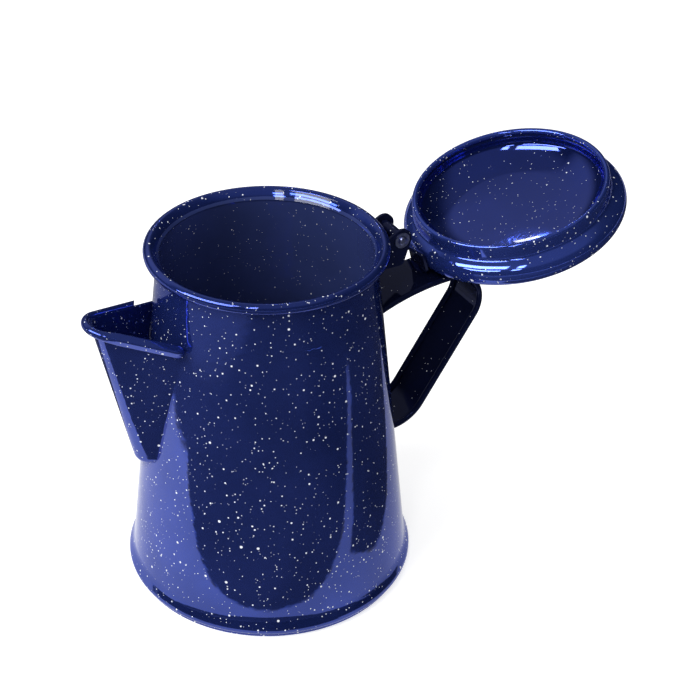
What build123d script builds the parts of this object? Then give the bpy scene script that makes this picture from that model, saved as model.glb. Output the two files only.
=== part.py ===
# Enamelled sheet-steel coffee pot with a hinged lid, shown with the lid thrown back.
# Millimetres. Z is up and z = 0 is the table. The origin is the centre of the base.
# The handle points to +X and the spout to -X. The hinge pin runs along Y.

import os
from math import asin, atan2, cos, degrees, hypot, pi, radians, sin, sqrt, tan

from build123d import *

os.makedirs("parts", exist_ok=True)

# Sheet and pot
sheet = 1.0                 # steel with its enamel on both sides
pot_height = 150.0          # table to the top of the rolled rim
base_radius = 60.6          # edge of the flared skirt, before it is rounded
base_edge = 3.2             # height of that edge
foot_tuck = 2.6             # how far the skirt turns in under its edge
skirt_top = 8.0             # where the straight wall meets the skirt
skirt_flare = 2.67          # how far the skirt stands out from the wall there
skirt_cove = 8.0            # radius where the wall turns out into the skirt
skirt_turn = 1.6            # radius of the edge
neck_radius = 42.6          # outside of the wall just under the mouth's bend
rim_flare = 5.0             # neck to the outside of the rolled rim
rim_roll = 2.1              # outside radius of the roll
mouth_flare = 35.0          # lean of the mouth under the roll, degrees
roll_turn = 275.0           # how far the rim curls round, degrees

# Base pan
pan_floor = 4.5             # top of the floor above the table
pan_slope = 3.0             # run of the slope from the floor down to the foot
pan_bend = 1.5              # radius of the pan's two bends
foot_width = 3.0            # flat ring that stands on the table
seam_step = 0.25            # the foot ring stands out under the skirt's edge
seam_lift = 0.5             # skirt's middle line above the foot ring

# Spout
spout_turn = 5.0            # the spout sits this far off the handle's plane, degrees
spout_bottom = 62.0         # height of its lower end
spout_heel_reach = 5.2      # wall to the nose there
spout_bottom_nose = 7.0
spout_lip_drop = 19.0       # rim to the tip of the lip
spout_lip_reach = 72.0
spout_lip_nose = 8.2
spout_spread = 24.5         # half the angle between the sides, degrees
spout_slope = 14.0          # fall of the top edge towards the pot, degrees
spout_hem = 1.7             # radius of the rolled top edge
spout_hem_gap = 3.0         # hem end to the pot wall on one side
spout_far_hem_gap = 7.0     # and on the other
spout_hem_step = 1.3        # top of the hem down to the bare edge of the panels
spout_heel = 4.0            # rounding of the lower end

# Strainer holes in the wall behind the spout
hole_diameter = 3.4
hole_columns = 3
hole_rows = 6
hole_pitch = 6.5
hole_drop = 7.5             # middle of the spout down to the middle of the pattern

# Handle
strap_width = 19.6          # between the centres of the rolled edges
strap_edge = 1.3            # radius of a rolled edge
rest_gap = 0.3              # arm to the open lid that it carries
arm_radius = 88.0           # the arm's slow curve
bend_reach = 80.2           # pot axis to the centre of the outer bend
bend_radius = 14.6
foot_run = 9.5              # wall to the corner of the leg and the foot
foot_straight = 0.93        # straight end of the foot at the wall
handle_foot = 50.0          # height where the lower end reaches the wall
pad_height = 13.0           # welded pads at the handle's ends
pad_thickness = 1.2
pad_corner = 4.0

# Hinge
hinge_offset = 8.5          # rim to the pin
hinge_drop = 10.0           # top of the rim down to the pin
pin_radius = 1.2
pin_clearance = 0.05
head_radius = 1.9
head_height = 1.2
head_round = 1.0
washer_radius = 3.3
washer_thickness = 0.6
ear_radius = 4.6
ear_gap = 13.0              # between the inner faces of the ears
ear_thickness = 1.2
ear_corner = 2.0
bracket_drop = 11.6         # pin down to the underside of the bracket
bracket_toe = 1.6           # pin to the outer end of the bracket's floor
bracket_top_drop = 13.0     # top of the rim to where the ears' upper edge meets the wall
leaf_clearance = 0.5        # leaf to each ear
leaf_thickness = 1.2
leaf_overlap = 8.0          # height of the leaf's weld on the lid
leaf_bend = 2.5
knuckle_radius = 2.6

# Lid, with all heights given with the lid shut
lid_open = 165.0            # degrees from shut to resting back on the handle
lid_inset = 0.6             # edge of the lid inside the edge of the rim
lid_rise = 15.9             # top of the rim to the top of the lid's shoulder
lid_crown = 1.4             # rise of the top from the shoulder to the middle
shoulder_radius = 7.6
under_radius = 4.5
rim_clearance = 0.3         # lid to rim
collar_gap = 0.4            # collar to the inside of the neck
collar_depth = 3.0          # how far the collar drops into the mouth
collar_cove = 1.0           # radius of the hollow above the collar
dish_depth = 12.0           # edge of the collar to the floor of the dish
dish_corner = 8.0
dish_crown = 0.8            # rise of that floor from its corner to the middle
liner_fit = 0.05            # liner to the cap's collar

# Knob
knob_radius = 10.5
knob_height = 18.5
knob_round = 4.5            # roundness of the bulb's side
knob_neck = 5.0
knob_flange = 9.0
knob_gap = 0.02             # weld gap under the flange

half_sheet = sheet / 2
foot_radius = base_radius - foot_tuck
rim_radius = neck_radius + rim_flare
rim_centre = (rim_radius - rim_roll, pot_height - rim_roll)
hinge_reach = rim_radius + hinge_offset
hinge_height = pot_height - hinge_drop
hinge_point = (hinge_reach, hinge_height)
hinge_axis = Axis((hinge_reach, 0, hinge_height), (0, 1, 0))


def swing_open(piece):
    # Lid pieces are drawn shut, then turned about the pin.
    return piece.rotate(hinge_axis, lid_open)


# Body: one sheet from the turned-in foot up to the rolled rim.
roll_line = rim_roll - half_sheet
flare = radians(mouth_flare)
roll_start = (rim_centre[0] - roll_line * cos(flare), rim_centre[1] + roll_line * sin(flare))
neck_line = neck_radius - half_sheet
mouth_bend = (neck_line, roll_start[1] - (roll_start[0] - neck_line) / tan(flare))
skirt_start = (base_radius - skirt_flare - half_sheet, skirt_top)
skirt_edge = (base_radius - half_sheet, base_edge)
skirt_foot = (foot_radius - half_sheet, sheet + seam_lift)
wall_slope = (skirt_start[0] - mouth_bend[0]) / (mouth_bend[1] - skirt_start[1])
wall_face = half_sheet * hypot(1, wall_slope)


def wall_radius(height):
    # Outside of the straight wall.
    return mouth_bend[0] + wall_face + (mouth_bend[1] - height) * wall_slope


with BuildSketch(Plane.XZ) as wall_section:
    with BuildLine() as wall_line:
        Polyline(skirt_foot, skirt_edge, skirt_start, mouth_bend, roll_start)
        CenterArc(rim_centre, roll_line, 180 - mouth_flare, -roll_turn)
        fillet(wall_line.vertices().sort_by(Axis.Y)[2], skirt_cove)
        fillet(wall_line.vertices().sort_by(Axis.Y)[1], skirt_turn)
    trace(line_width=sheet)

spout_lip_height = pot_height - spout_lip_drop
hole_centre = (spout_bottom + spout_lip_height) / 2 - hole_drop
spout_side = Plane(origin=(0, 0, hole_centre), x_dir=(0, 1, 0), z_dir=(-1, 0, 0))
with BuildPart() as strainer_drill:
    with BuildSketch(spout_side):
        with GridLocations(hole_pitch, hole_pitch, hole_columns, hole_rows):
            Circle(hole_diameter / 2)
    extrude(amount=base_radius)

with BuildPart() as body_shell:
    revolve(wall_section.sketch, axis=Axis.Z)
    add(strainer_drill.part.rotate(Axis.Z, -spout_turn), mode=Mode.SUBTRACT)

# Base pan: the floor drops to a flat ring that the skirt is seamed on.
foot_edge = foot_radius + seam_step
foot_inner = foot_edge - foot_width
with BuildPart() as base_pan:
    with BuildSketch(Plane.XZ):
        with BuildLine():
            FilletPolyline(
                (0, pan_floor - half_sheet),
                (foot_inner - pan_slope, pan_floor - half_sheet),
                (foot_inner, half_sheet),
                (foot_edge, half_sheet),
                radius=pan_bend,
            )
        trace(line_width=sheet)
    revolve(axis=Axis.Z)

# Spout: a folded trough. The sides spread from a rounded nose to the pot wall.
spout_bottom_reach = wall_radius(spout_bottom) + spout_heel_reach
spread = radians(spout_spread)
slope = radians(spout_slope)
spout_depth = spout_lip_reach - neck_radius / 2
lip_plane = Plane(
    origin=(-spout_lip_reach, 0, spout_lip_height),
    x_dir=(cos(slope), 0, -sin(slope)),
    z_dir=(sin(slope), 0, cos(slope)),
)


def trough_corners(nose, inset):
    # Back corner and tangent point of one side, with the tip of the nose at x = inset.
    radius = nose - inset
    tangent = (nose - radius * sin(spread), radius * cos(spread))
    back = (spout_depth, tangent[1] + (spout_depth - tangent[0]) * tan(spread))
    return back, tangent


def trough_outline(nose, inset):
    (back_x, back_y), (side_x, side_y) = trough_corners(nose, inset)
    with BuildSketch() as outline:
        with BuildLine():
            Line((back_x, -back_y), (side_x, -side_y))
            ThreePointArc((side_x, -side_y), (inset, 0), (side_x, side_y))
            Line((side_x, side_y), (back_x, back_y))
            Line((back_x, back_y), (back_x, -back_y))
        make_face()
    return outline.sketch


def trough_form(inset):
    # The trough as a filled form, drawn in all round by the inset.
    heel_plane = Plane(origin=(-spout_bottom_reach, 0, spout_bottom))
    heel = heel_plane * trough_outline(spout_bottom_nose, inset)
    lip = lip_plane * trough_outline(spout_lip_nose, inset)
    with BuildPart() as form:
        loft([heel, lip], ruled=True)
        split(bisect_by=Plane.XY.offset(spout_bottom + inset), keep=Keep.TOP)
        lower_edges = form.edges().group_by(Axis.Z)[0].sort_by(Axis.X)[:-1]
        fillet(lower_edges, spout_heel - inset)
    return form.part


def wall_jacket(thickness):
    # The pot's wall form thickened outwards.
    with BuildPart() as jacket:
        with BuildSketch(Plane.XZ):
            with BuildLine():
                Polyline(
                    (0, 0),
                    (wall_radius(0) + thickness, 0),
                    (wall_radius(pot_height) + thickness, pot_height),
                    (0, pot_height),
                    close=True,
                )
            make_face()
        revolve(axis=Axis.Z)
    return jacket.part


hem_plane = lip_plane.offset(-spout_hem)
(hem_back_x, hem_back_y), (hem_side_x, hem_side_y) = trough_corners(spout_lip_nose, sheet - spout_hem)
with BuildLine(hem_plane) as hem_line:
    Line((hem_back_x, -hem_back_y), (hem_side_x, -hem_side_y))
    ThreePointArc((hem_side_x, -hem_side_y), (sheet - spout_hem, 0), (hem_side_x, hem_side_y))
    Line((hem_side_x, hem_side_y), (hem_back_x, hem_back_y))
hem_path = hem_line.wires()[0]
with BuildPart() as spout_rim:
    with BuildSketch(Plane(origin=hem_path @ 0, z_dir=hem_path % 0)):
        Circle(spout_hem)
    sweep(path=hem_path)
    add(wall_jacket(spout_hem_gap), mode=Mode.SUBTRACT)
    far_side = split(wall_jacket(spout_far_hem_gap), bisect_by=Plane.XZ, keep=Keep.BOTTOM, mode=Mode.PRIVATE)
    add(far_side, mode=Mode.SUBTRACT)

with BuildPart() as spout:
    add(trough_form(0))
    add(trough_form(sheet), mode=Mode.SUBTRACT)
    split(bisect_by=lip_plane.offset(-spout_hem_step), keep=Keep.BOTTOM)
    add(spout_rim.part)
    add(wall_jacket(0), mode=Mode.SUBTRACT)
spout.part = spout.part.rotate(Axis.Z, -spout_turn)

# The open lid rests its shoulder on the handle's arm, which sets the arm's height.
lid_radius = rim_radius - lid_inset
lid_top = pot_height + lid_rise
shoulder_centre = (lid_radius - shoulder_radius, lid_top - shoulder_radius)
shoulder_swing = (hinge_reach - shoulder_centre[0]) * sin(radians(lid_open))
shoulder_drop = (shoulder_centre[1] - hinge_height) * cos(radians(lid_open))
lid_lowest = hinge_height + shoulder_swing + shoulder_drop - shoulder_radius
arm_height = lid_lowest - rest_gap - half_sheet

# Handle: a strap with both edges rolled under, bent into a D and welded by two pads.
bend_centre = (bend_reach, arm_height - bend_radius)
arm_angle = degrees(asin((bend_reach - wall_radius(arm_height) + pad_thickness) / arm_radius))
leg_corner = (wall_radius(handle_foot) + foot_run, handle_foot)
leg_run = bend_reach - leg_corner[0]
leg_rise = bend_centre[1] - handle_foot
lean = atan2(leg_run, leg_rise) + asin(bend_radius / hypot(leg_run, leg_rise))
leg_top = (bend_centre[0] + bend_radius * cos(lean), bend_centre[1] - bend_radius * sin(lean))
foot_bend_radius = (foot_run + pad_thickness - foot_straight) / tan((pi / 2 - lean) / 2)
with BuildLine(Plane.XZ) as strap_line:
    CenterArc((bend_reach, arm_height - arm_radius), arm_radius, 90 + arm_angle, -arm_angle)
    CenterArc(bend_centre, bend_radius, 90, -90 - degrees(lean))
    FilletPolyline(
        leg_top,
        leg_corner,
        (wall_radius(handle_foot) - pad_thickness, handle_foot),
        radius=foot_bend_radius,
    )
strap_path = strap_line.wires()[0]


def weld_pad(height):
    # A saddle plate that follows the wall.
    with BuildPart() as pad:
        with BuildSketch(Plane.YZ.offset(wall_radius(height) / 2)):
            with Locations((0, height)):
                RectangleRounded(strap_width, pad_height, pad_corner)
        extrude(amount=wall_radius(height))
        add(wall_jacket(pad_thickness), mode=Mode.INTERSECT)
    return pad.part


arm_foot = strap_path @ 0
with BuildPart() as handle_strap:
    with BuildSketch(Plane(origin=arm_foot, x_dir=(0, 1, 0), z_dir=strap_path % 0)):
        Rectangle(strap_width, sheet)
        with Locations((0, half_sheet - strap_edge)):
            with GridLocations(strap_width, 1, 2, 1):
                Circle(strap_edge)
    sweep(path=strap_path)
    add(weld_pad(arm_foot.Z + pad_height / 2 - strap_edge))
    add(weld_pad(handle_foot - pad_height / 2 + strap_edge))
    add(wall_jacket(0), mode=Mode.SUBTRACT)

# Hinge bracket: a folded saddle under the rim, two rounded ears on a floor.
ear_outside = ear_gap / 2 + ear_thickness
bracket_floor = hinge_height - bracket_drop
bracket_length = hinge_reach + bracket_toe
bracket_top = pot_height - bracket_top_drop
bracket_root = neck_radius / 2 + wall_radius(bracket_top) / 2


def ear_plate(inner_face):
    with BuildPart() as ear:
        with BuildSketch(Plane.XZ.offset(-inner_face)):
            with BuildSketch(mode=Mode.PRIVATE) as rounds:
                with Locations(hinge_point):
                    Circle(ear_radius)
                with Locations((bracket_length - ear_corner, bracket_floor + ear_corner)):
                    Circle(ear_corner)
                with Locations((bracket_root, (bracket_floor + bracket_top) / 2)):
                    Rectangle(sheet, bracket_top - bracket_floor)
            make_hull(rounds.edges())
            with Locations(hinge_point):
                Circle(pin_radius, mode=Mode.SUBTRACT)
        extrude(amount=ear_thickness)
    return ear.part


with BuildPart() as hinge_bracket:
    add(ear_plate(ear_gap / 2 + ear_thickness))
    add(ear_plate(-ear_gap / 2))
    with BuildSketch(Plane.XY.offset(bracket_floor)):
        with Locations(((bracket_root + bracket_length - ear_corner) / 2, 0)):
            Rectangle(bracket_length - ear_corner - bracket_root, 2 * ear_outside)
    extrude(amount=ear_thickness)
    add(wall_jacket(0), mode=Mode.SUBTRACT)

# Hinge pin: a rivet, with a washer under each head.
pin_plane = Plane(origin=(hinge_reach, 0, hinge_height), x_dir=(1, 0, 0), z_dir=(0, 1, 0))
head_seat = ear_outside + washer_thickness
with BuildPart() as hinge_pin:
    with BuildSketch(pin_plane):
        Circle(pin_radius)
    extrude(amount=head_seat, both=True)
    with BuildSketch(pin_plane.offset(head_seat), pin_plane.offset(-head_seat - head_height)):
        Circle(head_radius)
    extrude(amount=head_height)
    fillet(hinge_pin.faces().sort_by(Axis.Y)[-1].edges(), head_round)
    fillet(hinge_pin.faces().sort_by(Axis.Y)[0].edges(), head_round)

with BuildPart() as pin_washers:
    with BuildSketch(pin_plane.offset(ear_outside), pin_plane.offset(-head_seat)):
        Circle(washer_radius)
        Circle(pin_radius, mode=Mode.SUBTRACT)
    extrude(amount=washer_thickness)


def crown_over(side_centre, side_radius, top):
    # Circle on the axis that passes through the top and runs smoothly into a side arc.
    reach, level = side_centre
    depth = top - level
    radius = (reach ** 2 + depth ** 2 - side_radius ** 2) / (2 * (depth - side_radius))
    join_angle = 90 - degrees(asin(reach / (radius - side_radius)))
    return radius, top - radius, join_angle


# Lid cap: a crowned top that turns over a full shoulder, curls in and drops as the collar.
shoulder_line = shoulder_radius - half_sheet
collar_radius = neck_radius - sheet - collar_gap
collar_bottom = pot_height - collar_depth
crown_radius, crown_centre, shoulder_start = crown_over(
    shoulder_centre, shoulder_line, lid_top + lid_crown - half_sheet
)
under_x = lid_radius - under_radius
under_reach = under_radius + rim_roll + rim_clearance
under_centre = (under_x, rim_centre[1] + sqrt(under_reach ** 2 - (under_x - rim_centre[0]) ** 2))
under_line = under_radius - half_sheet
collar_line = collar_radius - half_sheet
cove_line = collar_cove + half_sheet
cove_reach = under_line + cove_line
cove_run = under_x - collar_line - cove_line
cove_centre = (collar_line + cove_line, under_centre[1] - sqrt(cove_reach ** 2 - cove_run ** 2))
cove_turn = degrees(asin(cove_run / cove_reach))
hem_radius = sheet + liner_fit / 2
hem_centre = (collar_radius - hem_radius, collar_bottom + hem_radius)
with BuildPart() as lid_shell:
    with BuildSketch(Plane.XZ):
        with BuildLine():
            CenterArc((0, crown_centre), crown_radius, 90, shoulder_start - 90)
            CenterArc(shoulder_centre, shoulder_line, shoulder_start, -shoulder_start)
            Line((lid_radius - half_sheet, shoulder_centre[1]), (lid_radius - half_sheet, under_centre[1]))
            CenterArc(under_centre, under_line, 0, -90 - cove_turn)
            CenterArc(cove_centre, cove_line, 90 - cove_turn, 90 + cove_turn)
            Line((collar_line, cove_centre[1]), (collar_line, hem_centre[1]))
        trace(line_width=sheet)
        with Locations(hem_centre):
            Circle(hem_radius)
    revolve(axis=Axis.Z)

# Lid liner: the dish inside the lid. Its edge seats on the hem of the cap's collar.
liner_line = collar_line - sheet - liner_fit
corner_line = dish_corner + half_sheet
dish_top = collar_bottom + dish_depth + half_sheet
corner_centre = (liner_line - corner_line, dish_top - dish_crown - corner_line)
floor_radius, floor_centre, corner_start = crown_over(corner_centre, corner_line, dish_top)
with BuildPart() as lid_liner:
    with BuildSketch(Plane.XZ):
        with BuildLine():
            CenterArc((0, floor_centre), floor_radius, 90, corner_start - 90)
            CenterArc(corner_centre, corner_line, corner_start, -corner_start)
            Line((liner_line, corner_centre[1]), (liner_line, hem_centre[1]))
        trace(line_width=sheet)
        with Locations(hem_centre):
            Circle(hem_radius + liner_fit, mode=Mode.SUBTRACT)
    revolve(axis=Axis.Z)

# Hinge leaf: welded up the side of the lid, bent out and wrapped round the pin.
leaf_line = lid_radius + leaf_thickness / 2
leaf_low = under_centre[1]
knuckle_line = knuckle_radius - leaf_thickness / 2
leaf_reach = hypot(hinge_reach - leaf_line, hinge_height - leaf_low)
leaf_angle = atan2(hinge_height - leaf_low, hinge_reach - leaf_line) + asin(knuckle_line / leaf_reach)
leaf_touch = (
    hinge_reach - knuckle_line * sin(leaf_angle),
    hinge_height + knuckle_line * cos(leaf_angle),
)
with BuildPart() as hinge_leaf:
    with BuildSketch(Plane.XZ.offset(leaf_clearance - ear_gap / 2)):
        with BuildLine():
            FilletPolyline(
                (leaf_line, leaf_low + leaf_overlap),
                (leaf_line, leaf_low),
                leaf_touch,
                radius=leaf_bend,
            )
        trace(line_width=leaf_thickness)
        with Locations(hinge_point):
            Circle(knuckle_radius)
            Circle(pin_radius + pin_clearance, mode=Mode.SUBTRACT)
    extrude(amount=ear_gap - 2 * leaf_clearance)

# Knob: a hollow pressing with a rounded bulb over a flared neck, welded on the crown.
knob_line = knob_round - half_sheet
knob_base = crown_centre + sqrt((crown_radius + half_sheet) ** 2 - knob_flange ** 2) + knob_gap + half_sheet
flare_radius = knob_flange - knob_neck + half_sheet
flare_centre = (knob_flange, knob_base + flare_radius)
bulb_x = knob_radius - knob_round
bulb_rise = sqrt((knob_line + flare_radius) ** 2 - (knob_flange - bulb_x) ** 2)
bulb_centre = (bulb_x, flare_centre[1] + bulb_rise)
flare_turn = degrees(atan2(bulb_rise, knob_flange - bulb_x))
dome_radius, dome_centre, bulb_start = crown_over(bulb_centre, knob_line, knob_base + knob_height - sheet)
with BuildPart() as knob:
    with BuildSketch(Plane.XZ):
        with BuildLine():
            CenterArc((0, dome_centre), dome_radius, 90, bulb_start - 90)
            CenterArc(bulb_centre, knob_line, bulb_start, -bulb_start - flare_turn)
            CenterArc(flare_centre, flare_radius, 180 - flare_turn, 90 + flare_turn)
        trace(line_width=sheet)
    revolve(axis=Axis.Z)

lid_shell.part = swing_open(lid_shell.part)
lid_liner.part = swing_open(lid_liner.part)
hinge_leaf.part = swing_open(hinge_leaf.part)
knob.part = swing_open(knob.part)

body_shell.part.label = "body_shell"
base_pan.part.label = "base_pan"
spout.part.label = "spout"
handle_strap.part.label = "handle_strap"
hinge_bracket.part.label = "hinge_bracket"
hinge_pin.part.label = "hinge_pin"
pin_washers.part.label = "pin_washers"
lid_shell.part.label = "lid_shell"
lid_liner.part.label = "lid_liner"
hinge_leaf.part.label = "hinge_leaf"
knob.part.label = "knob"

export_step(body_shell.part, "parts/body_shell.step")
export_step(base_pan.part, "parts/base_pan.step")
export_step(spout.part, "parts/spout.step")
export_step(handle_strap.part, "parts/handle_strap.step")
export_step(hinge_bracket.part, "parts/hinge_bracket.step")
export_step(hinge_pin.part, "parts/hinge_pin.step")
export_step(pin_washers.part, "parts/pin_washers.step")
export_step(lid_shell.part, "parts/lid_shell.step")
export_step(lid_liner.part, "parts/lid_liner.step")
export_step(hinge_leaf.part, "parts/hinge_leaf.step")
export_step(knob.part, "parts/knob.step")
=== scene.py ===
# Enamelled coffee pot with its lid thrown back: speckled cobalt enamel on thin steel.
import bpy
import numpy as np
from mathutils import Matrix


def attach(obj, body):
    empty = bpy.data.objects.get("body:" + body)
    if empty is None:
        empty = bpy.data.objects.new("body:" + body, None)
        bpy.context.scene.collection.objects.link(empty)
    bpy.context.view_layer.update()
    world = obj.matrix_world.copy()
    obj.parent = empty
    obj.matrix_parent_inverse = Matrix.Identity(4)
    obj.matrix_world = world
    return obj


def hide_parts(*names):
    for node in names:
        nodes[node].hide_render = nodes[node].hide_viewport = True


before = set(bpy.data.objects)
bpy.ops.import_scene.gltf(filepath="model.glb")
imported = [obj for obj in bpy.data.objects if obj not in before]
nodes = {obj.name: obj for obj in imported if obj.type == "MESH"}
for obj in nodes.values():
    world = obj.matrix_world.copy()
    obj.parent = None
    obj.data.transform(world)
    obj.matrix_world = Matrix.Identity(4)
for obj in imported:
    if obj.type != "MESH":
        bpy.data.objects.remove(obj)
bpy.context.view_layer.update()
print("frame loaded:", len(nodes), "nodes")

mm = 0.001
bpy.context.scene.view_settings.view_transform = "Standard"

# the camera stands where the photograph was taken from (degrees and mm)
cameraLook = {"azimuth": -30.0, "elevation": 33.432, "roll": 1.331, "distance": 715.92,
              "aimRight": 34.7635, "aimUp": 83.6357, "lens": 84.875, "sensor": 36.0}


def placeCamera(look):
    # back points from the object to the camera; right and up are turned by the roll about it
    az, el, roll = np.radians([look["azimuth"], look["elevation"], look["roll"]])
    back = np.array([np.sin(az) * np.cos(el), -np.cos(az) * np.cos(el), np.sin(el)])
    level = np.array([np.cos(az), np.sin(az), 0.0])
    upright = np.cross(back, level)
    right = np.cos(roll) * level + np.sin(roll) * upright
    up = -np.sin(roll) * level + np.cos(roll) * upright
    spot = (right * look["aimRight"] + up * look["aimUp"] + back * look["distance"]) * mm
    data = bpy.data.cameras.new("photoCamera")
    data.sensor_width = look["sensor"]
    data.lens = look["lens"]
    camera = bpy.data.objects.new("photoCamera", data)
    bpy.context.scene.collection.objects.link(camera)
    turn = np.eye(4)
    turn[:3, 0], turn[:3, 1], turn[:3, 2], turn[:3, 3] = right, up, back, spot
    camera.matrix_world = Matrix(turn.tolist())
    bpy.context.scene.camera = camera


placeCamera(cameraLook)
print("camera placed")


def addNode(tree, kind, **values):
    # a node with each named input or setting given its value
    node = tree.nodes.new(kind)
    for key, value in values.items():
        if key in node.inputs:
            node.inputs[key].default_value = value
        else:
            setattr(node, key, value)
    return node


def mathNode(tree, operation, a, b=None, clamp=False):
    # one operation on numbers or sockets; clamp keeps the result between 0 and 1
    node = tree.nodes.new("ShaderNodeMath")
    node.operation = operation
    node.use_clamp = clamp
    for socket, value in zip(node.inputs, (a, b)):
        if value is None:
            continue
        if isinstance(value, (int, float)):
            socket.default_value = value
        else:
            tree.links.new(value, socket)
    return node.outputs[0]


def remap(tree, value, low, high, toLow=0.0, toHigh=1.0):
    # smooth step from toLow to toHigh as value runs from low to high
    node = tree.nodes.new("ShaderNodeMapRange")
    node.interpolation_type = "SMOOTHSTEP"
    for name, number in zip(("From Min", "From Max", "To Min", "To Max"), (low, high, toLow, toHigh)):
        node.inputs[name].default_value = number
    tree.links.new(value, node.inputs["Value"])
    return node.outputs["Result"]


def mixColours(tree, factor, first, second):
    # the first colour where the factor is 0, the second where it is 1
    node = tree.nodes.new("ShaderNodeMix")
    node.data_type = "RGBA"
    tree.links.new(factor, node.inputs["Factor"])
    for socket, colour in (("A", first), ("B", second)):
        if isinstance(colour, tuple):
            node.inputs[socket].default_value = (*colour, 1.0)
        else:
            tree.links.new(colour, node.inputs[socket])
    return node.outputs["Result"]


def newGroup(name, inputs, outputs):
    # a node group with these input sockets (name, kind, value) and output sockets (name, kind)
    tree = bpy.data.node_groups.new(name, "ShaderNodeTree")
    for socketName, kind, value in inputs:
        socket = tree.interface.new_socket(socketName, in_out="INPUT", socket_type=kind)
        if value is not None:
            socket.default_value = value
    for socketName, kind in outputs:
        tree.interface.new_socket(socketName, in_out="OUTPUT", socket_type=kind)
    return tree, tree.nodes.new("NodeGroupInput"), tree.nodes.new("NodeGroupOutput")


def useGroup(tree, group, vector, **values):
    # the group's first output at the vector, with each named input given its value
    node = tree.nodes.new("ShaderNodeGroup")
    node.node_tree = group
    tree.links.new(vector, node.inputs["Vector"])
    for key, value in values.items():
        node.inputs[key].default_value = value
    return node.outputs[0]


def newMaterial(name, keepShader=True):
    # a material with its node tree, with or without the Principled shader
    material = bpy.data.materials.new(name)
    material.use_nodes = True
    tree = material.node_tree
    if not keepShader:
        tree.nodes.remove(tree.nodes["Principled BSDF"])
    return material, tree


def splitVector(tree, vector):
    # the x, y and z sockets of a vector
    parts = tree.nodes.new("ShaderNodeSeparateXYZ")
    tree.links.new(vector, parts.inputs[0])
    return parts.outputs


def fromAxis(tree, vector):
    # the distance from the axis, the root of x squared plus y squared, and the height
    x, y, z = splitVector(tree, vector)
    square = mathNode(tree, "ADD", mathNode(tree, "MULTIPLY", x, x), mathNode(tree, "MULTIPLY", y, y))
    return mathNode(tree, "SQRT", square), z


# a drop's radius is the least share plus the growth times a chance to this power; edge is its soft share
dropShape = {"power": 2.0, "least": 0.45, "growth": 0.55, "edge": 0.15}


def speckleGroup():
    # drops of white enamel: spheres scattered in space, cut by the surface into round spots of many sizes
    tree, given, out = newGroup(
        "enamelSpeckle",
        [("Vector", "NodeSocketVector", None), ("Cell", "NodeSocketFloat", 0.002),
         ("Size", "NodeSocketFloat", 0.25), ("Amount", "NodeSocketFloat", 0.5)],
        [("Mask", "NodeSocketFloat")])
    link = tree.links.new
    scale = mathNode(tree, "DIVIDE", 1.0, given.outputs["Cell"])
    cells = addNode(tree, "ShaderNodeTexVoronoi", voronoi_dimensions="3D", feature="F1", Randomness=1.0)
    link(given.outputs["Vector"], cells.inputs["Vector"])
    link(scale, cells.inputs["Scale"])
    chance = tree.nodes.new("ShaderNodeSeparateColor")
    link(cells.outputs["Color"], chance.inputs[0])
    # the power makes more small drops than large ones
    raised = mathNode(tree, "POWER", chance.outputs[0], dropShape["power"])
    growth = mathNode(tree, "MULTIPLY", raised, dropShape["growth"])
    share = mathNode(tree, "ADD", growth, dropShape["least"])
    radius = mathNode(tree, "MULTIPLY", share, given.outputs["Size"])
    reach = mathNode(tree, "SUBTRACT", radius, cells.outputs["Distance"])
    edge = mathNode(tree, "MULTIPLY", given.outputs["Size"], dropShape["edge"])
    spot = mathNode(tree, "DIVIDE", reach, edge, clamp=True)
    present = mathNode(tree, "LESS_THAN", chance.outputs[1], given.outputs["Amount"])
    link(mathNode(tree, "MULTIPLY", spot, present), out.inputs["Mask"])
    return tree


# the glaze's three noises by waves to the metre
glazeShape = {"scales": {"Wave": 45.0, "Run": 260.0, "Peel": 650.0}, "detail": 1.0, "roughness": 0.45}


def glazeGroup():
    # height of the fired glaze in millimetres: slow waves, the runs of the dip and a fine orange peel
    tree, given, out = newGroup(
        "glazeWaves",
        [("Vector", "NodeSocketVector", None), ("Wave", "NodeSocketFloat", 1.0),
         ("Run", "NodeSocketFloat", 1.0), ("Peel", "NodeSocketFloat", 1.0)],
        [("Height", "NodeSocketFloat")])
    link = tree.links.new
    total = None
    for part, scale in glazeShape["scales"].items():
        noise = addNode(tree, "ShaderNodeTexNoise", noise_dimensions="3D", Scale=scale,
                        Detail=glazeShape["detail"], Roughness=glazeShape["roughness"])
        link(given.outputs["Vector"], noise.inputs["Vector"])
        layer = mathNode(tree, "MULTIPLY", noise.outputs["Fac"], given.outputs[part])
        total = layer if total is None else mathNode(tree, "ADD", total, layer)
    link(total, out.inputs["Height"])
    return tree


def insideGroup():
    # 1 where a point is nearer the axis than the middle of the wall, which leans in evenly with height
    tree, given, out = newGroup(
        "potInside",
        [("Vector", "NodeSocketVector", None), ("Foot Radius", "NodeSocketFloat", 0.05815),
         ("Lean", "NodeSocketFloat", 0.1075)],
        [("Mask", "NodeSocketFloat")])
    radius, height = fromAxis(tree, given.outputs["Vector"])
    fall = mathNode(tree, "MULTIPLY", height, given.outputs["Lean"])
    wall = mathNode(tree, "SUBTRACT", given.outputs["Foot Radius"], fall)
    tree.links.new(mathNode(tree, "LESS_THAN", radius, wall), out.inputs["Mask"])
    return tree


# the square of the distance (mm) at which the mouth's roll becomes flat
mouthRollEnd = 4.0


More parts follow.
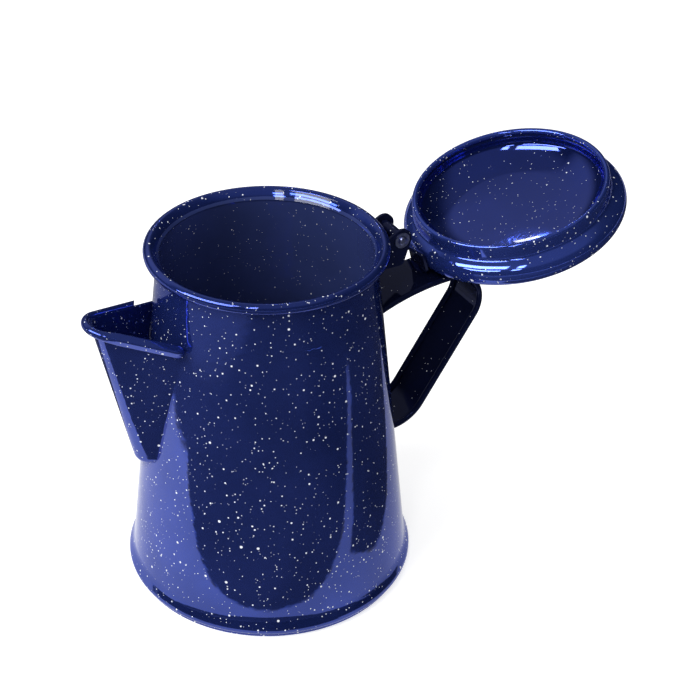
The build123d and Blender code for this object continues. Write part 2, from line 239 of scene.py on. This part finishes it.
def mouthGroup():
    # height in mm of the rounded inner lip: a parabola about the middle height, inside the reach only
    tree, given, out = newGroup(
        "mouthRoll",
        [("Vector", "NodeSocketVector", None), ("Middle", "NodeSocketFloat", 0.1473),
         ("Curve", "NodeSocketFloat", 0.085), ("Reach", "NodeSocketFloat", 0.0446)],
        [("Height", "NodeSocketFloat")])
    radius, height = fromAxis(tree, given.outputs["Vector"])
    within = mathNode(tree, "LESS_THAN", radius, given.outputs["Reach"])
    away = mathNode(tree, "MULTIPLY", mathNode(tree, "SUBTRACT", height, given.outputs["Middle"]), 1 / mm)
    near = mathNode(tree, "MINIMUM", mathNode(tree, "MULTIPLY", away, away), mouthRollEnd)
    fall = mathNode(tree, "MULTIPLY", mathNode(tree, "MULTIPLY", near, given.outputs["Curve"]), -1.0)
    tree.links.new(mathNode(tree, "MULTIPLY", fall, within), out.inputs["Height"])
    return tree


speckle = speckleGroup()
mouthRoll = mouthGroup()
glaze = glazeGroup()
potInside = insideGroup()

# deep and blue are the two depths of cobalt; wave, run, peel and spotLift are heights in millimetres.
# each row of drops is its cell (m), its greatest radius in cells, and the share of cells filled
outerLook = {"deep": (0.022, 0.044, 0.25), "blue": (0.032, 0.060, 0.33), "spot": (0.90, 0.93, 1.0),
             "metal": 0.78, "roughness": 0.06, "specular": 0.4, "glancing": (0.45, 0.50, 0.90),
             "coat": 0.5, "coatRoughness": 0.02,
             "wave": 0.28, "run": 0.050, "peel": 0.008, "spotLift": 0.02,
             "drops": [(0.0017, 0.17, 0.85), (0.0026, 0.18, 0.85), (0.0056, 0.12, 0.95)]}
# painted light: inside the pot the cobalt is a lighter, greyer and less metallic copy, to lift the shade in
# the hollow
insideLitLook = dict(outerLook, deep=(0.044, 0.065, 0.22), blue=(0.054, 0.080, 0.28), metal=0.45,
                  drops=[(0.0016, 0.13, 0.8), (0.0030, 0.11, 0.6)])
# painted light: the lid's bowl takes a bluer copy of the cobalt that stands in for the light in the bowl
dishLitLook = dict(outerLook, deep=(0.022, 0.046, 0.30), blue=(0.026, 0.054, 0.36), metal=0.88, coat=0.6,
                run=0.010, drops=[(0.0016, 0.14, 0.8), (0.0030, 0.12, 0.6)])
# painted light: the lid's outside takes a copy of the cobalt about twice as bright, standing in for light
# that falls on the lid
lidLitLook = dict(outerLook, deep=(0.040, 0.078, 0.42), blue=(0.052, 0.098, 0.52),
               wave=0.15, run=0.008, peel=0.002)
# painted shade: the handle, bracket and leaf take a near-black copy of the cobalt, standing in for the shade
# and dark reflections around them
handleShadedLook = dict(outerLook, deep=(0.006, 0.009, 0.036), blue=(0.008, 0.012, 0.050), metal=0.40,
                  coat=0.15, specular=0.15, run=0.015, drops=[(0.0021, 0.14, 0.35), (0.0044, 0.11, 0.3)])
cloudLook = {"scale": 30.0, "detail": 3.0, "low": 0.3, "high": 0.7}


def enamelColour(tree, place, look):
    # cobalt that changes slowly in depth, with drops on it; returns the colour and the drops' mask
    cloud = addNode(tree, "ShaderNodeTexNoise", Scale=cloudLook["scale"], Detail=cloudLook["detail"])
    tree.links.new(place, cloud.inputs["Vector"])
    shade = remap(tree, cloud.outputs["Fac"], cloudLook["low"], cloudLook["high"])
    depth = mixColours(tree, shade, look["deep"], look["blue"])
    spots = None
    for cell, size, amount in look["drops"]:
        layer = useGroup(tree, speckle, place, Cell=cell, Size=size, Amount=amount)
        spots = layer if spots is None else mathNode(tree, "MAXIMUM", spots, layer)
    return mixColours(tree, spots, depth, look["spot"]), spots


def makeEnamel(name, look, inner=None):
    # part-metallic glaze, with metal only between the drops; an inner look takes over inside the pot, there
    # a lighter copy with painted light
    material, tree = newMaterial(name)
    link = tree.links.new
    shader = tree.nodes["Principled BSDF"]
    place = tree.nodes.new("ShaderNodeTexCoord").outputs["Object"]
    colour, spots = enamelColour(tree, place, look)
    metal = look["metal"]
    if inner:
        within = useGroup(tree, potInside, place)
        innerColour, innerSpots = enamelColour(tree, place, inner)
        colour = mixColours(tree, within, colour, innerColour)
        change = mathNode(tree, "MULTIPLY", mathNode(tree, "SUBTRACT", innerSpots, spots), within)
        spots = mathNode(tree, "ADD", spots, change)
        metal = remap(tree, within, 0.0, 1.0, look["metal"], inner["metal"])
    link(colour, shader.inputs["Base Color"])
    bare = mathNode(tree, "SUBTRACT", 1.0, spots)
    link(mathNode(tree, "MULTIPLY", bare, metal), shader.inputs["Metallic"])
    shader.inputs["Roughness"].default_value = look["roughness"]
    shader.inputs["Specular IOR Level"].default_value = look["specular"]
    shader.inputs["Specular Tint"].default_value = (*look["glancing"], 1.0)
    shader.inputs["Coat Weight"].default_value = look["coat"]
    shader.inputs["Coat Roughness"].default_value = look["coatRoughness"]
    waves = useGroup(tree, glaze, place, Wave=look["wave"], Run=look["run"], Peel=look["peel"])
    height = mathNode(tree, "ADD", waves, mathNode(tree, "MULTIPLY", spots, look["spotLift"]))
    if inner:
        height = mathNode(tree, "ADD", height, useGroup(tree, mouthRoll, place))
    bump = tree.nodes.new("ShaderNodeBump")
    bump.inputs["Distance"].default_value = mm
    link(height, bump.inputs["Height"])
    link(bump.outputs["Normal"], shader.inputs["Normal"])
    return material


enamelOuter = makeEnamel("cobaltEnamel", outerLook)
enamelPot = makeEnamel("potEnamel", outerLook, insideLitLook)
enamelDishLit = makeEnamel("dishLitEnamel", dishLitLook)
enamelLidLit = makeEnamel("lidLitEnamel", lidLitLook)
enamelHandleShaded = makeEnamel("shadedHandleEnamel", handleShadedLook)

# low and high are the grain values between which the steel goes from smooth to rough
steelLook = {"colour": (0.34, 0.38, 0.66), "grain": 1800.0, "detail": 2.0, "low": 0.3, "high": 0.7,
             "smooth": 0.28, "rough": 0.45}


def makeSteel(look):
    # bluish steel whose roughness follows a fine grain
    material, tree = newMaterial("rivetSteel")
    shader = tree.nodes["Principled BSDF"]
    place = tree.nodes.new("ShaderNodeTexCoord").outputs["Object"]
    grain = addNode(tree, "ShaderNodeTexNoise", Scale=look["grain"], Detail=look["detail"])
    tree.links.new(place, grain.inputs["Vector"])
    shader.inputs["Base Color"].default_value = (*look["colour"], 1.0)
    shader.inputs["Metallic"].default_value = 1.0
    value = grain.outputs["Fac"]
    roughness = remap(tree, value, look["low"], look["high"], look["smooth"], look["rough"])
    tree.links.new(roughness, shader.inputs["Roughness"])
    return material


steel = makeSteel(steelLook)


def dress(node, material):
    # every material slot of the CAD piece takes this material
    for slot in nodes[node].material_slots:
        slot.material = material


dress("body_shell", enamelPot)
for node in ("base_pan", "spout", "knob"):
    dress(node, enamelOuter)
# the handle and hinge plates wear the near-black copy with painted shade
for node in ("handle_strap", "hinge_bracket", "hinge_leaf"):
    dress(node, enamelHandleShaded)
for node in ("hinge_pin", "pin_washers"):
    dress(node, steel)
print("materials made")


def arcPoints(centre, radius, start, end, count):
    # centre plus radius times cosine and sine, from the start angle to the end angle in degrees
    angle = np.radians(np.linspace(start, end, count))
    return np.stack([centre[0] + radius * np.cos(angle), centre[1] + radius * np.sin(angle)], 1)


def thinPoints(line):
    # the line without points that repeat the one before
    keep = np.r_[True, np.linalg.norm(np.diff(line, axis=0), axis=1) > 1e-4]
    return line[keep]


def offsetLine(line, distance):
    # each point moved along the line's own normal, to the left of its run
    along = np.gradient(line, axis=0)
    along /= np.linalg.norm(along, axis=1, keepdims=True)
    return line + distance * np.stack([-along[:, 1], along[:, 0]], 1)


def smoothMesh(name, points, faces):
    # a smooth-shaded mesh of points in millimetres
    mesh = bpy.data.meshes.new(name)
    mesh.from_pydata((points * mm).tolist(), [], faces)
    mesh.polygons.foreach_set("use_smooth", np.ones(len(mesh.polygons), dtype=bool))
    mesh.update()
    return mesh


def turnedMesh(name, profile, segments, place):
    # profile points (radius, height) carried round the axis; a point on the axis becomes one shared pole
    angle = np.linspace(0.0, 2 * np.pi, segments, endpoint=False)
    onAxis = profile[:, 0] < 1e-6
    counts = np.where(onAxis, 1, segments)
    first = np.concatenate([[0], np.cumsum(counts)[:-1]])
    rings = np.stack([profile[:, :1] * np.cos(angle), profile[:, :1] * np.sin(angle),
                      np.repeat(profile[:, 1:], segments, 1)], -1)
    column = np.arange(segments)
    beside = (column + 1) % segments
    points = rings[(~onAxis)[:, None] | (column == 0)[None, :]]
    step = np.where(onAxis, 0, 1)
    rows = np.arange(len(profile) - 1)
    after = rows + 1
    corners = np.stack([first[rows][:, None] + column * step[rows][:, None],
                        first[rows][:, None] + beside * step[rows][:, None],
                        first[after][:, None] + beside * step[after][:, None],
                        first[after][:, None] + column * step[after][:, None]], -1).reshape(-1, 4)
    # beside a pole the two corners are one, and the face is a triangle
    tops, tails = corners[:, 0] == corners[:, 1], corners[:, 2] == corners[:, 3]
    faces = corners[~tops & ~tails].tolist()
    faces += corners[tops][:, [0, 2, 3]].tolist() + corners[tails][:, [0, 1, 2]].tolist()
    return smoothMesh(name, place(points), faces)


def facesOutward(mesh):
    # the signed volume from the origin to the triangles is above 0 when the faces point outwards
    mesh.calc_loop_triangles()
    count = len(mesh.loop_triangles)
    corner = np.empty(count * 3, dtype=np.int32)
    mesh.loop_triangles.foreach_get("vertices", corner)
    spot = np.empty(len(mesh.vertices) * 3)
    mesh.vertices.foreach_get("co", spot)
    a, b, c = spot.reshape(-1, 3)[corner.reshape(-1, 3)].transpose(1, 0, 2)
    if np.einsum("ij,ij->i", a, np.cross(b, c)).sum() < 0:
        mesh.flip_normals()


def addPiece(name, mesh, material, body, replaced=None):
    # one visible piece on its body, in place of a CAD piece where one is named
    facesOutward(mesh)
    mesh.materials.append(material)
    piece = bpy.data.objects.new(name, mesh)
    bpy.context.scene.collection.objects.link(piece)
    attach(piece, body)
    if replaced:
        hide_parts(replaced)


# the folded edge of the spout on the near side (mm and degrees): a round bead at the nose and a leaning
# oblong along the side. face and faceHalf are half the oblong's thickness and height, and foldPast and
# foldLength say where the oblong gives way to the bead
hemShape = {"lipReach": 72.0, "lipHeight": 131.0, "dip": 14.0, "spread": 24.5, "turn": -5.0,
            "nose": 8.9, "noseCentre": 8.2, "noseSweep": 60.0, "wallEnd": 30.0, "endLength": 3.2,
            "drop": 1.7, "round": 1.72, "face": 1.80, "faceHalf": 1.95, "faceLean": 29.0,
            "cornerPower": 0.3, "foldPast": 4.0, "foldLength": 9.0,
            "sideSteps": 60, "noseSteps": 30, "around": 40}


def hemSection(look, count):
    # round section and folded section by angle: the fold is a leaning oblong with rounded corners
    angle = np.linspace(0.0, 2 * np.pi, count, endpoint=False)
    circle = look["round"] * np.stack([np.cos(angle), np.sin(angle)], 1)
    lean = np.radians(look["faceLean"])
    across, up = np.array([np.cos(lean), -np.sin(lean)]), np.array([np.sin(lean), np.cos(lean)])
    power = look["cornerPower"]
    oblong = np.stack([np.sign(np.cos(angle)) * np.abs(np.cos(angle)) ** power * look["face"],
                       np.sign(np.sin(angle)) * np.abs(np.sin(angle)) ** power * look["faceHalf"]], 1)
    return circle, oblong[:, :1] * across + oblong[:, 1:] * up


def hemRings(look):
    # the path runs along the straight side to the nose and round it; sections stand square to the path
    spread = np.radians(look["spread"])
    centre = np.array([look["noseCentre"], 0.0])
    sideward = np.array([-np.sin(spread), -np.cos(spread)])
    side = centre + look["nose"] * sideward
    along = np.array([np.cos(spread), -np.sin(spread)])
    straight = np.linspace(look["wallEnd"], 0.0, look["sideSteps"])
    sweep = np.radians(np.linspace(0.0, look["noseSweep"], look["noseSteps"])[1:])
    turned = spread + sweep
    noseward = np.stack([-np.sin(turned), -np.cos(turned)], 1)
    path = np.concatenate([side + straight[:, None] * along, centre + look["nose"] * noseward])
    outward = np.concatenate([np.tile(sideward, (look["sideSteps"], 1)), noseward])
    run = np.concatenate([straight[0] - straight, straight[0] + look["nose"] * sweep])
    # the fold gives way to the round bead towards the nose, and both ends close in a quarter circle
    left = look["wallEnd"] + look["foldPast"] - run
    fold = np.clip(left / look["foldLength"], 0.0, 1.0)[:, None, None]
    ends = np.minimum(run, run[-1] - run) / look["endLength"]
    size = np.sqrt(np.clip(1 - (1 - np.clip(ends, 0.0, 1.0)) ** 2, 0.0, 1.0))[:, None, None]
    circle, oblong = hemSection(look, look["around"])
    section = (circle * (1 - fold) + oblong * fold) * size
    flat = path[:, None, :] + section[..., :1] * outward[:, None, :]
    height = section[..., 1] - look["drop"]
    # the lip's plane dips towards the pot, and the spout is turned about the pot's axis
    dip, turn = np.radians([look["dip"], look["turn"]])
    x = -look["lipReach"] + flat[..., 0] * np.cos(dip) + height * np.sin(dip)
    z = look["lipHeight"] - flat[..., 0] * np.sin(dip) + height * np.cos(dip)
    y = flat[..., 1]
    return np.stack([x * np.cos(turn) - y * np.sin(turn), x * np.sin(turn) + y * np.cos(turn), z], -1)


def tubeMesh(name, rings):
    # rings of points joined by quads; the first and last rings have closed to points
    rows, around = rings.shape[:2]
    points = np.concatenate([rings[:1, 0], rings[1:-1].reshape(-1, 3), rings[-1:, 0]])
    row, column = np.meshgrid(np.arange(rows - 3), np.arange(around), indexing="ij")
    here, beside = 1 + row * around + column, 1 + row * around + (column + 1) % around
    quads = np.stack([here, beside, beside + around, here + around], -1).reshape(-1, 4).tolist()
    ring = np.arange(around)
    after, last = (ring + 1) % around, len(points) - 1
    start = np.stack([np.zeros_like(ring), 1 + after, 1 + ring], 1).tolist()
    tail = np.stack([np.full_like(ring, last), last - around + ring, last - around + after], 1).tolist()
    return smoothMesh(name, points, quads + start + tail)


addPiece("spoutHem", tubeMesh("spoutHem", hemRings(hemShape)), enamelOuter, "pot")
print("spout hem made")

# the lid as drawn shut, in millimetres from the pot's axis and the table, then swung about the pin
hinge = {"x": 56.1, "z": 140.0, "open": 165.0}


def swingOpen(points):
    # x and z turned clockwise about the pin by the open angle
    turn = -np.radians(hinge["open"])
    x, z = points[:, 0] - hinge["x"], points[:, 2] - hinge["z"]
    return np.stack([hinge["x"] + x * np.cos(turn) - z * np.sin(turn), points[:, 1],
                     hinge["z"] + x * np.sin(turn) + z * np.cos(turn)], 1)


# steps are the points along each part of the profile; bandStart and bandEnd are how many degrees below level
# the face looks there
capShape = {"sheet": 1.0, "radius": 46.75, "top": 167.3, "shoulder": 5.0, "widest": 159.5,
            "band": 14.0, "bandStart": 50.0, "bandEnd": 62.0, "collar": 41.2, "cove": 2.0,
            "hemRadius": 1.25, "hemHeight": 148.25, "hemSweep": 270.0, "hemGap": 0.1, "segments": 224,
            "steps": {"crown": 40, "shoulder": 44, "band": 14, "cove": 14, "hem": 36}}


def crownArc(centre, radius, top, count):
    # the arc down from the top that runs smoothly into a side arc, and the angle where they join
    reach, depth = centre[0], top - centre[1]
    crown = (reach ** 2 + depth ** 2 - radius ** 2) / (2 * (depth - radius))
    join = 90 - np.degrees(np.arcsin(reach / (crown - radius)))
    return arcPoints((0.0, top - crown), crown, 90, join, count), join


def capProfile(look):
    # outer face: crown, shoulder, band, cove and collar; then round the hem and back inside the sheet
    steps = look["steps"]
    shoulder = (look["radius"] - look["shoulder"], look["widest"])
    crown, join = crownArc(shoulder, look["shoulder"], look["top"], steps["crown"])
    edge = arcPoints(shoulder, look["shoulder"], join, -look["bandStart"], steps["shoulder"])
    lean = np.radians(look["bandStart"])
    bandCentre = edge[-1] - look["band"] * np.array([np.cos(lean), -np.sin(lean)])
    band = arcPoints(bandCentre, look["band"], -look["bandStart"], -look["bandEnd"], steps["band"])
    # the cone from the end of the band to the collar, with its corner rounded by the cove
    slope = np.radians(look["bandEnd"])
    run = (band[-1, 0] - look["collar"]) / np.sin(slope)
    cornerHeight = band[-1, 1] - run * np.cos(slope)
    coveCentre = (look["collar"] + look["cove"], cornerHeight - look["cove"] * np.tan(slope / 2))
    cove = arcPoints(coveCentre, look["cove"], 180 - look["bandEnd"], 180, steps["cove"])
    outer = thinPoints(np.concatenate([crown, edge, band, cove]))
    hemCentre = (look["collar"] - look["hemRadius"], look["hemHeight"])
    hem = arcPoints(hemCentre, look["hemRadius"], 0, -look["hemSweep"], steps["hem"])
    inner = offsetLine(outer, -look["sheet"])[::-1]
    inner = inner[inner[:, 1] > hem[-1, 1] + look["hemGap"]]
    inner[-1, 0] = 0.0
    return thinPoints(np.concatenate([outer, hem, inner]))


capMesh = turnedMesh("lidCap", capProfile(capShape), capShape["segments"], swingOpen)
addPiece("lidCap", capMesh, enamelLidLit, "lid", "lid_shell")

# bowlEnd and cornerEnd are how many degrees from level the sheet leans there
dishShape = {"sheet": 1.0, "floor": 161.0, "crown": 1.2, "bowlStart": 25.5, "bowl": 21.0, "bowlEnd": 43.5,
             "corner": 3.5, "cornerEnd": 88.0, "lip": 148.6, "lipFlare": 0.1, "segments": 224,
             "steps": {"floor": 16, "bowl": 40, "corner": 20}}


def dishProfile(look):
    # a nearly flat floor, a wide bowl arc and a small corner arc, each running smoothly into the next
    steps = look["steps"]
    flat = np.linspace(0.0, look["bowlStart"], steps["floor"])
    floor = np.stack([flat, look["floor"] - look["crown"] * (flat / look["bowlStart"]) ** 2], 1)
    lean = np.degrees(np.arctan(2 * look["crown"] / look["bowlStart"]))
    upright = np.radians(90 - lean)
    bowlCentre = floor[-1] - look["bowl"] * np.array([np.cos(upright), np.sin(upright)])
    bowl = arcPoints(bowlCentre, look["bowl"], 90 - lean, 90 - look["bowlEnd"], steps["bowl"])
    turn = np.radians(90 - look["bowlEnd"])
    cornerCentre = bowl[-1] - look["corner"] * np.array([np.cos(turn), np.sin(turn)])
    cornerSpan = (90 - look["bowlEnd"], 90 - look["cornerEnd"])
    corner = arcPoints(cornerCentre, look["corner"], *cornerSpan, steps["corner"])
    lip = [[corner[-1, 0] + look["lipFlare"], look["lip"]]]
    inner = thinPoints(np.concatenate([floor, bowl, corner, lip]))
    outer = offsetLine(inner, look["sheet"])[::-1]
    outer[-1, 0] = 0.0
    return thinPoints(np.concatenate([inner, outer]))


dishMesh = turnedMesh("lidDish", dishProfile(dishShape), dishShape["segments"], swingOpen)
addPiece("lidDish", dishMesh, enamelDishLit, "lid", "lid_liner")
print("lid made")


def addStage(name, mesh, material, reflectionOnly):
    # a reflection-only sheet is seen by glossy rays alone and casts nothing
    mesh.materials.append(material)
    sheet = bpy.data.objects.new(name, mesh)
    bpy.context.scene.collection.objects.link(sheet)
    if reflectionOnly:
        sheet.visible_camera = False
        sheet.visible_diffuse = False
        sheet.visible_shadow = False
        sheet.visible_transmission = False


def squareMesh(name, half, height):
    # a level square about the axis
    mesh = bpy.data.meshes.new(name)
    corners = [(-half, -half, height), (half, -half, height), (half, half, height), (-half, half, height)]
    mesh.from_pydata(corners, [], [(0, 1, 2, 3)])
    return mesh


def glowMaterial(name):
    # a material that only glows; returned with the x, y and z sockets and the strength to be set
    material, tree = newMaterial(name, keepShader=False)
    glow = addNode(tree, "ShaderNodeEmission", Color=(1, 1, 1, 1))
    tree.links.new(glow.outputs[0], tree.nodes["Material Output"].inputs["Surface"])
    place = tree.nodes.new("ShaderNodeTexCoord").outputs["Object"]
    return material, tree, splitVector(tree, place), glow.inputs["Strength"]


def directRays(tree):
    # 1 for camera, glossy and transmitted rays, 0 for the rest
    seen = tree.nodes.new("ShaderNodeLightPath")
    glossy, through = seen.outputs["Is Glossy Ray"], seen.outputs["Is Transmission Ray"]
    mirrored = mathNode(tree, "MAXIMUM", glossy, through)
    return mathNode(tree, "MAXIMUM", seen.outputs["Is Camera Ray"], mirrored)


floorLook = {"paper": (0.8, 0.8, 0.8), "glow": 0.62, "half": 4.0}


def paleFloor(look):
    # pale paper, with a glow added for direct rays so that it reads as white and keeps a soft shadow
    material, tree = newMaterial("paleFloor", keepShader=False)
    paper = addNode(tree, "ShaderNodeBsdfDiffuse", Color=(*look["paper"], 1.0))
    glow = addNode(tree, "ShaderNodeEmission", Color=(1, 1, 1, 1), Strength=look["glow"])
    both = tree.nodes.new("ShaderNodeAddShader")
    pick = tree.nodes.new("ShaderNodeMixShader")
    for shader, socket in ((paper, both.inputs[0]), (glow, both.inputs[1]), (paper, pick.inputs[1]),
                           (both, pick.inputs[2])):
        tree.links.new(shader.outputs[0], socket)
    tree.links.new(directRays(tree), pick.inputs[0])
    tree.links.new(pick.outputs[0], tree.nodes["Material Output"].inputs["Surface"])
    return material


addStage("floor", squareMesh("floor", floorLook["half"], 0.0), paleFloor(floorLook), False)

# what the enamel mirrors of the table, glowing sheets with painted light: a white sheet on a dark table,
# brighter on the left, with the open lid's shadow painted across it.
# each edge is a point (mm), its direction, and how softly it fades (mm); the sheet lies to the left of it.
# each fade is where along x or y (m) a brightness begins to change and ends; right is +X, far is +Y
tableLook = {"half": 1.5, "height": 0.0003, "white": 1.32, "whiteRight": 0.55, "whiteFade": (-0.15, 0.15),
             "dark": 0.10, "darkRight": 0.045, "darkFade": (-0.05, 0.12),
             "leftGrey": 0.3, "leftFade": (-0.24, -0.34), "farGrey": 0.32, "farFade": (0.12, 0.24),
             "frontEdge": ((-59.0, -59.0), (1.0, -0.53), 1.5),
             "leftEdge": ((-200.0, 50.0), (0.1, -1.0), 12.0),
             "rearEdge": ((-110.0, 97.0), (-1.0, 0.05), 10.0),
             "rightEnd": ((250.0, 0.0), (0.2, 1.0), 20.0),
             "shadowLow": ((50.0, -88.0), (1.0, 1.72), 2.0),
             "shadowHigh": ((66.0, -62.0), (1.0, 0.70), 2.5),
             "spike": ((-59.0, -39.0), (1.0, -0.53), 2.0)}


def sideMask(tree, x, y, edge):
    # 1 to the left of the line through the point, 0 to the right, smooth across the fade
    (px, py), (dx, dy), fade = edge
    length = np.hypot(dx, dy)
    acrossX, acrossY = float(-dy / length), float(dx / length)
    offset = -(px * acrossX + py * acrossY)
    partX, partY = mathNode(tree, "MULTIPLY", x, acrossX), mathNode(tree, "MULTIPLY", y, acrossY)
    distance = mathNode(tree, "ADD", mathNode(tree, "ADD", partX, partY), offset * mm)
    return remap(tree, distance, -fade * mm, fade * mm)


def tableGlow(look):
    # the brighter of the sheet, where it is inside its edges and lit, and the table with its two grey ends
    material, tree, (x, y, _), strength = glowMaterial("mirroredTable")
    sheet = sideMask(tree, x, y, look["frontEdge"])
    for edge in ("leftEdge", "rearEdge", "rightEnd"):
        sheet = mathNode(tree, "MULTIPLY", sheet, sideMask(tree, x, y, look[edge]))
    low, high = sideMask(tree, x, y, look["shadowLow"]), sideMask(tree, x, y, look["shadowHigh"])
    spike = mathNode(tree, "SUBTRACT", 1.0, sideMask(tree, x, y, look["spike"]))
    lit = mathNode(tree, "MAXIMUM", mathNode(tree, "MAXIMUM", low, high), spike)
    # painted light: the sheet's glow falls from bright on the left to dimmer on the right, and the table's
    # glow dims the same way
    bright = remap(tree, x, *look["whiteFade"], look["white"], look["whiteRight"])
    paper = mathNode(tree, "MULTIPLY", mathNode(tree, "MULTIPLY", sheet, lit), bright)
    table = remap(tree, x, *look["darkFade"], look["dark"], look["darkRight"])
    table = mathNode(tree, "MAXIMUM", table, remap(tree, x, *look["leftFade"], 0.0, look["leftGrey"]))
    table = mathNode(tree, "ADD", table, remap(tree, y, *look["farFade"], 0.0, look["farGrey"]))
    tree.links.new(mathNode(tree, "MAXIMUM", paper, table), strength)
    return material


tableMesh = squareMesh("mirroredTable", tableLook["half"], tableLook["height"])
addStage("mirroredTable", tableMesh, tableGlow(tableLook), True)

# the room that the enamel mirrors: dark walls, a dim ceiling and a soft glow at +Y, all dimmer towards +X.
# each fade is where a brightness begins to change and where it ends, in shares of the dome's radius (m)
roomLook = {"radius": 2.4, "rows": 24, "columns": 48,
            "wall": 0.02, "ceiling": 0.19, "ceilingFade": (0.6, 0.85),
            "backGlow": 0.36, "backFade": (0.40, 0.66), "raisedFade": (0.25, 0.55),
            "rightDim": 0.15, "rightFade": (0.30, 0.60)}


def roomDome(look):
    # a dome: latitude from the floor to the zenith by rows, longitude by columns
    rows, columns = look["rows"], look["columns"]
    lat, lon = np.meshgrid(np.linspace(0.0, np.pi / 2, rows),
                           np.linspace(0.0, 2 * np.pi, columns, endpoint=False), indexing="ij")
    unit = np.stack([np.cos(lat) * np.cos(lon), np.cos(lat) * np.sin(lon), np.sin(lat)], -1)
    points = look["radius"] * unit
    row, column = np.meshgrid(np.arange(rows - 1), np.arange(columns), indexing="ij")
    here, beside = row * columns + column, row * columns + (column + 1) % columns
    faces = np.stack([here, here + columns, beside + columns, beside], -1).reshape(-1, 4)
    mesh = bpy.data.meshes.new("roomDome")
    mesh.from_pydata(points.reshape(-1, 3).tolist(), [], faces.tolist())
    return mesh


def roomGlow(look):
    # the brighter of the ceiling and the raised glow behind, times the dimming towards +X
    material, tree, (x, y, z), strength = glowMaterial("dimRoom")

    def domeFade(socket, fade, start, end):
        # from start to end over the fade's two shares of the radius
        return remap(tree, socket, *(share * look["radius"] for share in look[fade]), start, end)

    ceiling = domeFade(z, "ceilingFade", look["wall"], look["ceiling"])
    behind = domeFade(y, "backFade", 0.0, look["backGlow"])
    raised = domeFade(z, "raisedFade", 0.0, 1.0)
    dimmed = domeFade(x, "rightFade", 1.0, look["rightDim"])
    brighter = mathNode(tree, "MAXIMUM", ceiling, mathNode(tree, "MULTIPLY", behind, raised))
    tree.links.new(mathNode(tree, "MULTIPLY", brighter, dimmed), strength)
    return material


addStage("dimRoom", roomDome(roomLook), roomGlow(roomLook), True)

# two long lamps one above the other on the left, each with a gap, and a small one behind (mm).
# each row: a name, the azimuth and elevation of both ends (0 is -Y, 90 is +X), width and brightness
lampLook = {"distance": 900.0, "centre": (0.0, 0.0, 150.0),
            "lamps": [("lampLow", (-60, 40), (-111, 21), 130.0, 11.0),
                      ("lampHigh", (-60, 56), (-111, 37), 130.0, 11.0),
                      ("lampLowEnd", (-37, 41), (-47, 41), 130.0, 11.0),
                      ("lampHighEnd", (-37, 56), (-47, 56), 130.0, 11.0),
                      ("lampBack", (152.0, 32.4), (153.0, 32.4), 16.0, 20.0)]}


def skyPoint(azimuth, elevation, look):
    # the point at the lamps' distance from the centre, in the direction of the azimuth and elevation
    az, el = np.radians([azimuth, elevation])
    toward = np.array([np.sin(az) * np.cos(el), -np.cos(az) * np.cos(el), np.sin(el)])
    return (np.array(look["centre"]) + toward * look["distance"]) * mm


def stripLamp(name, start, end, width, brightness, look):
    # a lamp from one point of the sky to another, facing the pot; power is brightness times pi times area
    first, last = skyPoint(*start, look), skyPoint(*end, look)
    middle, run = (first + last) / 2, last - first
    length = float(np.linalg.norm(run))
    away = middle - np.array(look["centre"]) * mm
    level = run / length
    away = away - level * (away @ level)
    away /= np.linalg.norm(away)
    data = bpy.data.lights.new(name, "AREA")
    data.shape = "RECTANGLE"
    data.size, data.size_y = length, width * mm
    data.energy = float(brightness * np.pi * length * width * mm)
    lamp = bpy.data.objects.new(name, data)
    bpy.context.scene.collection.objects.link(lamp)
    turn = np.eye(4)
    turn[:3, 0], turn[:3, 1], turn[:3, 2], turn[:3, 3] = level, np.cross(away, level), away, middle
    lamp.matrix_world = Matrix(turn.tolist())


for name, start, end, width, brightness in lampLook["lamps"]:
    stripLamp(name, start, end, width, brightness, lampLook)


def plainWorld(level):
    # white to camera and mirrored rays, and an even light of this level to the rest
    world = bpy.data.worlds.new("plainWorld")
    bpy.context.scene.world = world
    world.use_nodes = True
    tree = world.node_tree
    back = tree.nodes["Background"]
    strength = mathNode(tree, "ADD", mathNode(tree, "MULTIPLY", directRays(tree), 1.0 - level), level)
    back.inputs["Color"].default_value = (1, 1, 1, 1)
    tree.links.new(strength, back.inputs["Strength"])


worldLevel = 0.58
plainWorld(worldLevel)
print("stage and lights set")
